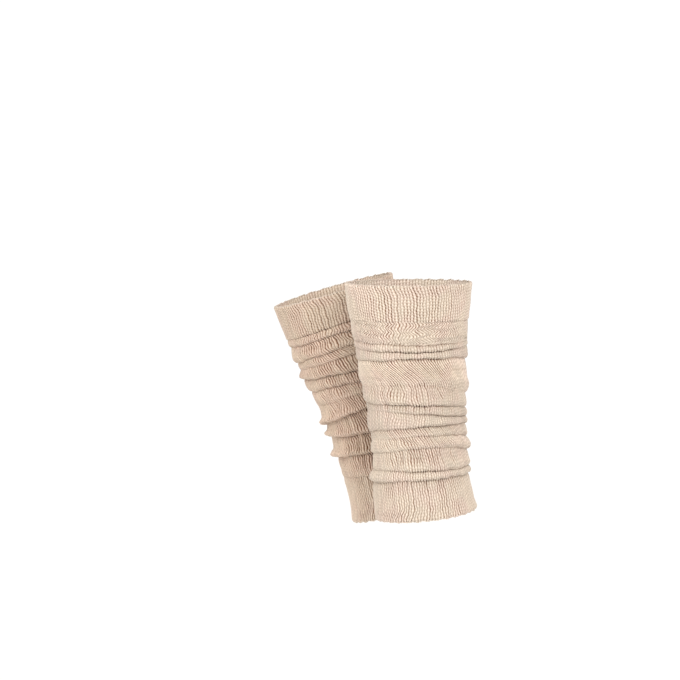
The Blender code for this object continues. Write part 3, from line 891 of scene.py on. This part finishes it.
def press_short_creases(leg, azimuth, down):
    """How deep the short creases press the cloth in, in millimetres."""
    pressed = np.zeros_like(azimuth)
    for short in SHORT_CREASES[leg.name]:
        aside = np.degrees(azimuth) - short.azimuth
        aside = (aside + 180) % 360 - 180
        along = np.clip(1 - (aside / short.half_length) ** 2, 0.0, 1.0)
        off = down - short.down - short.slope * aside / short.half_length
        pressed += short.depth * along * np.exp(-((off / short.width) ** 2))
    return pressed


def gathered(crease, share):
    """How tightly the ribs are gathered at a share of the way down to a crease. The tighter they
    are under the crease before, the farther down it shows.
    """
    return crease.gather * fade(share - 0.25 - 0.2 * crease.gather, 0.45)


def on_lower_edge(crease, azimuth, place):
    """1 round the lower edge of a roll, which is at places 5 and 6 along its outline."""
    return ease((place - 3.6) / 1.4) * fade(place - 6.0, 1.0) * shown_at(crease.strength, azimuth)


def crease_shade(before, crease, azimuth, from_start, from_end):
    """How dark the painted shade is on the cloth beside the crease that it starts in and the one that it
    ends in, by millimetres from each. A roll that droops has more painted shade on the cloth under it,
    and less on itself.
    """
    under_roll = math.exp(-((from_start / (0.9 + 1.2 * before.droop)) ** 2))
    over_crease = (1 - 0.65 * min(crease.droop, 1.0)) * math.exp(-((from_end / 1.3) ** 2))
    return under_roll * shown_at(before.dark, azimuth) + over_crease * shown_at(crease.dark, azimuth)


def rib_boldness(before, crease, from_start, place):
    """How boldly the ribs show. It changes within 2 mm of a crease, and less shows on the widest
    part of a roll, where the cloth is stretched.
    """
    bold = before.bold + (crease.bold - before.bold) * ease(from_start / 2.0)
    stretched = ease((place - 3.2 - 0.5 * flange(crease)) / 0.8) * fade(place - 5.2, 0.8)
    return bold * (1 - 0.4 * stretched)


def body_length(leg, before, creases, sway_so_far, stitches_so_far):
    """The outside and the inside of one length of a body, and where its ribs and stitches end."""
    azimuths = np.arange(BODY_COLUMNS) * math.tau / BODY_COLUMNS
    ends = rib_ends(leg, azimuths)
    outer, inner = [], []

    def turned(crease, share, run):
        drift = BODY_DRIFT * wander(leg, azimuths, stitches_so_far * COURSE + share * run)
        drift *= 1 - min(abs(crease.lean) / STEEPEST_LEAN, 1.0) * 0.6 * math.sin(math.pi * share)
        return azimuths + (sway_so_far + rib_sway(crease, share, azimuths) + drift) / TUBE_RADIUS

    for crease in creases:
        outline = roll_outline(leg, before, crease, azimuths)
        spans = len(outline) - 1
        places = np.linspace(0, spans, 8 * spans + 1)
        trial = [outline_point(outline, place) for place in places]
        steps = [np.hypot(b[0] - a[0], b[1] - a[1]).mean() for a, b in zip(trial, trial[1:])]
        along = np.concatenate([[0.0], np.cumsum(steps)])
        run = along[-1]
        count = max(round(run / BODY_ROW), 6)
        for row in range(count):
            share = row / count - 0.5 * math.sin(math.tau * row / count) / math.tau
            place = float(np.interp(share * run, along, places))
            azimuth = turned(crease, share, run)
            down, out = outline_point(roll_outline(leg, before, crease, azimuth), place)
            pressed = press_short_creases(leg, azimuth, down)
            lobes = LIP_REACH * ends * on_lower_edge(crease, azimuth, place)
            points = tube_points(leg, azimuth, down + lobes, out - pressed)
            from_start, from_end = share * run, (1 - share) * run
            # Painted shade beside the creases, and in the short creases.
            fold = crease_shade(before, crease, azimuth, from_start, from_end)
            fold = np.clip(fold + 0.3 * pressed, 0.0, 1.0)
            bold = rib_boldness(before, crease, from_start, place) * (1 - LOST_IN_FOLD * fold)
            gather = gathered(crease, share) + 0.0 * azimuth
            outer.append((points, stitches_so_far + from_start / COURSE, bold, fold, gather))
        # The inside keeps its distance from the wall of a roll, and doesn't go out into a thin lip.
        third, two_thirds = roll_swell(crease)
        rolls = (0.0, 0.8 * third, (third + two_thirds) / 2, two_thirds)
        for share, roll in zip((0.0, 0.25, 0.5, 0.75), rolls):
            azimuth = turned(crease, share, run)
            above, below = crease_line(leg, before, azimuth), crease_line(leg, crease, azimuth)
            out = roll * crease.stand * shown_at(crease.strength, azimuth)
            out -= (share == 0.0) * before.dip * shown_at(before.strength, azimuth)
            points = tube_points(leg, azimuth, above + (below - above) * share, out - WALL)
            stitches = stitches_so_far + share * run / COURSE
            even = 0.0 * azimuth
            inner.append((points, stitches, INSIDE_RIBS + even, even, even - gathered(crease, share)))
        sway_so_far = sway_so_far + rib_sway(crease, 1.0, azimuths)
        stitches_so_far += run / COURSE
        before = crease
    drift = BODY_DRIFT * wander(leg, azimuths, stitches_so_far * COURSE)
    azimuth = azimuths + (sway_so_far + drift) / TUBE_RADIUS
    down = crease_line(leg, before, azimuth)
    bottom = -before.dip * shown_at(before.strength, azimuth)
    fold, even = shown_at(before.dark, azimuth), 0.0 * azimuth
    points = tube_points(leg, azimuth, down, bottom)
    outer.append((points, stitches_so_far, before.bold * (1 - LOST_IN_FOLD * fold), fold, even))
    points = tube_points(leg, azimuth, down, bottom - WALL)
    inner.append((points, stitches_so_far, INSIDE_RIBS + even, even, even))
    faces = [Face(*(np.array(column) for column in zip(*rows))) for rows in (outer, inner[::-1])]
    return faces, sway_so_far, stitches_so_far


# Painted shade: the right body's yarn colours are tinted a little darker and warmer.
RIGHT_BODY_SHADE_TINT = (0.965, 0.915, 0.88)
BODY_YARN = {
    "left": yarn_material("left_slouch_knit_yarn", gap=0.95, dots=0.5, beads=0.18, middles=0.2),
    "right": yarn_material(
        "right_slouch_knit_yarn", RIGHT_BODY_SHADE_TINT, gap=0.95, dots=0.25, beads=0.1, middles=0.2
    ),
}


def body(leg):
    # Painted shade: the cloth just under the top cuff is darkened by the cuff's shade values.
    under_cuff = Crease(
        leg.cuff_end, leg.cuff_step, leg.cuff_shade, dip=0.4, stand=0.0, droop=0.0, late=0.0,
        lean=0.0, zigzags=0.0, width=0.0, gather=0.0, bold=1.0,
    )
    creases = CREASES[leg.name]
    sway, stitches = 0.0, 12.0  # the cuff has 12 rows of stitches
    lengths = (("upper", under_cuff, creases[:UPPER_CREASES]),
               ("lower", creases[UPPER_CREASES - 1], creases[UPPER_CREASES:]))
    for part, before, its_creases in lengths:
        faces, sway, stitches = body_length(leg, before, its_creases, sway, stitches)
        node = leg.name + "_" + part + "_body"
        piece = knit_shell(node + "_knit", *faces)
        finish_with(
            piece, KNIT_RELIEF, rib_height=1.15 * MM, stitch_height=0.0, gather_depth=0.85 * MM,
            crumple=0.35 * MM, yarn=BODY_YARN[leg.name],
        )
        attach(piece, "root")
        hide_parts(node)


for leg in PAIR:
    body(leg)

# ------------------------------------------------------------------------------ hem cuffs
# The lower end of each tube, in the same yarn and one by one rib as the top cuff. It is knitted
# last, comes out from under the last roll of the body, and ends in an open rim.

# Painted shade: the right hem's yarn colours are tinted a little warmer.
RIGHT_HEM_SHADE_TINT = (1.02, 0.985, 0.955)
HEM_YARN = {
    "left": yarn_material("left_hem_rib_yarn", gap=0.75, dots=0.2, beads=0.14, middles=0.1),
    "right": yarn_material(
        "right_hem_rib_yarn", RIGHT_HEM_SHADE_TINT, gap=0.8, dots=0.1, beads=0.08, middles=0.1
    ),
}


def hem_cuff(leg):
    start, length = 182.0, 39.0
    last = CREASES[leg.name][-1]

    def top(azimuth):
        return crease_line(leg, last, azimuth)

    def bottom(azimuth):
        return wavy_edge(leg, leg.hem, azimuth, count=31)

    def ends(share):
        return RIB_REACH * rib_ends(leg, AZIMUTHS) * fade(1 - share, 0.05)

    def sway(share, azimuth):
        """The ribs wander, and kick forward in the last centimetre on the front."""
        kick = -5.5 * ease((share - 0.66) / 0.34) * np.clip(np.cos(azimuth - 0.5), 0.0, 1.0) ** 3
        return kick + 0.7 * wander(leg, azimuth, start + length * share)

    def flare(share, azimuth):
        """The rim stands off at the back."""
        return 2.0 * ease((share - 0.7) / 0.3) * np.clip(np.cos(azimuth - 2.8), 0.0, 1.0)

    def drawn_in(share, azimuth):
        """The first rows come out of the bottom of the last crease."""
        return -last.dip * shown_at(last.strength, azimuth) * fade(share, 0.16)

    def outward(share, azimuth):
        belly = 0.6 * np.sin(math.pi * np.clip(share, 0.0, 1.0))
        rolled_rim = -ROUND_OUTSIDE * fade(1 - share, 0.025)
        return drawn_in(share, azimuth) + belly + flare(share, azimuth) + rolled_rim

    def inward(share, azimuth):
        rolled_rim = ROUND_INSIDE * fade(1 - share, 0.05)
        return drawn_in(share, azimuth) - WALL + flare(share, azimuth) + rolled_rim

    # Painted shade under the last crease, where the hem comes out of it.
    def fold(share, azimuth):
        return shown_at(last.dark, azimuth) * fade(share, 0.05)

    # The gathered rows are drawn in, and their gaps also carry painted shade.
    def gather(share, azimuth):
        return 0.6 * fade(share, 0.4) + leg.cuff_gather

    cuff = Cuff(sway, top, bottom, ends)
    shares = np.linspace(0.0, 1.0, round(length / CUFF_ROW))
    outside = cuff_face(leg, cuff, shares, outward, 0.72, fold, gather)
    inside = cuff_face(leg, cuff, np.linspace(1.0, 0.0, CUFF_INSIDE_ROWS), inward, INSIDE_RIBS)
    node = leg.name + "_hem_cuff"
    piece = knit_shell(node + "_knit", outside, inside)
    finish_with(
        piece, KNIT_RELIEF, rib_height=1.3 * MM, stitch_height=0.08 * MM, gather_depth=0.9 * MM,
        crumple=0.2 * MM, yarn=HEM_YARN[leg.name],
    )
    rim = RIB_CRESTS + sway(1.0, RIB_CRESTS) / TUBE_RADIUS
    chain_down = bottom(rim) + CHAIN_REACH * rib_ends(leg, RIB_CRESTS)
    chain = edge_chain(leg, node, rim, chain_down, outward=flare(1.0, rim) - 1.1)
    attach(piece, "root")
    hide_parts(node)


for leg in PAIR:
    hem_cuff(leg)

# ------------------------------------------------------------------------------ floor and light
# A plain pale floor well below the pair, an even white surround and two large soft lights. The
# main one comes from the left and above, and the weaker one from the front.

FLOOR_DROP = 1.1  # metres below the middle of the left top cuff
FLOOR_REACH = 9.0
FLOOR_CORNERS = ((-1, -1), (1, -1), (1, 1), (-1, 1))
floor_mesh = bpy.data.meshes.new("floor")
floor_mesh.from_pydata(
    [(x * FLOOR_REACH, y * FLOOR_REACH, -FLOOR_DROP) for x, y in FLOOR_CORNERS], [], [(0, 1, 2, 3)]
)
floor = bpy.data.objects.new("floor", floor_mesh)
bpy.context.scene.collection.objects.link(floor)
floor_paint = bpy.data.materials.new("floor_paint")
floor_paint.use_nodes = True
matte = floor_paint.node_tree.nodes["Principled BSDF"]
matte.inputs["Base Color"].default_value = (0.95, 0.95, 0.95, 1.0)
matte.inputs["Roughness"].default_value = 1.0
matte.inputs["Specular IOR Level"].default_value = 0.0
floor_mesh.materials.append(floor_paint)

# The surround lights the pair softly and warmly, and is plain white where it is seen itself.
world = bpy.data.worlds.new("white_surround")
world.use_nodes = True
sky = world.node_tree
glow = sky.nodes["Background"]
glow.inputs["Color"].default_value = (1.0, 0.965, 0.925, 1.0)
glow.inputs["Strength"].default_value = 0.72
bare = sky.nodes.new("ShaderNodeBackground")
bare.inputs["Color"].default_value = (1.0, 1.0, 1.0, 1.0)
bare.inputs["Strength"].default_value = 1.05
seen = sky.nodes.new("ShaderNodeLightPath")
choice = sky.nodes.new("ShaderNodeMixShader")
sky.links.new(seen.outputs["Is Camera Ray"], choice.inputs["Fac"])
sky.links.new(glow.outputs["Background"], choice.inputs[1])
sky.links.new(bare.outputs["Background"], choice.inputs[2])
sky.links.new(choice.outputs["Shader"], sky.nodes["World Output"].inputs["Surface"])
bpy.context.scene.world = world


def soft_light(name, azimuth, elevation, brightness, softness):
    """A large, far light. Its brightness is that of a white card that faces it."""
    light = bpy.data.lights.new(name, "SUN")
    light.energy = brightness * math.pi
    light.angle = math.radians(softness)
    lamp = bpy.data.objects.new(name, light)
    lamp.rotation_euler = (math.radians(90 - elevation), 0.0, math.radians(azimuth))
    bpy.context.scene.collection.objects.link(lamp)


soft_light("soft_key", azimuth=76, elevation=30, brightness=0.7, softness=45)
soft_light("soft_fill", azimuth=15, elevation=20, brightness=0.2, softness=60)

VIEW_ROUND, VIEW_UP = 70, 5  # where the camera looks from, in degrees from the front and up
lens = bpy.data.cameras.new("camera")
lens.sensor_width = 36.0
lens.lens = 180.2
eye = bpy.data.objects.new("camera", lens)
eye.location = (2.9763, -1.1526, 0.2419)
eye.rotation_euler = (math.radians(90 - VIEW_UP), 0.0, math.radians(VIEW_ROUND))
bpy.context.scene.collection.objects.link(eye)
bpy.context.scene.camera = eye
bpy.context.scene.view_settings.view_transform = "Standard"
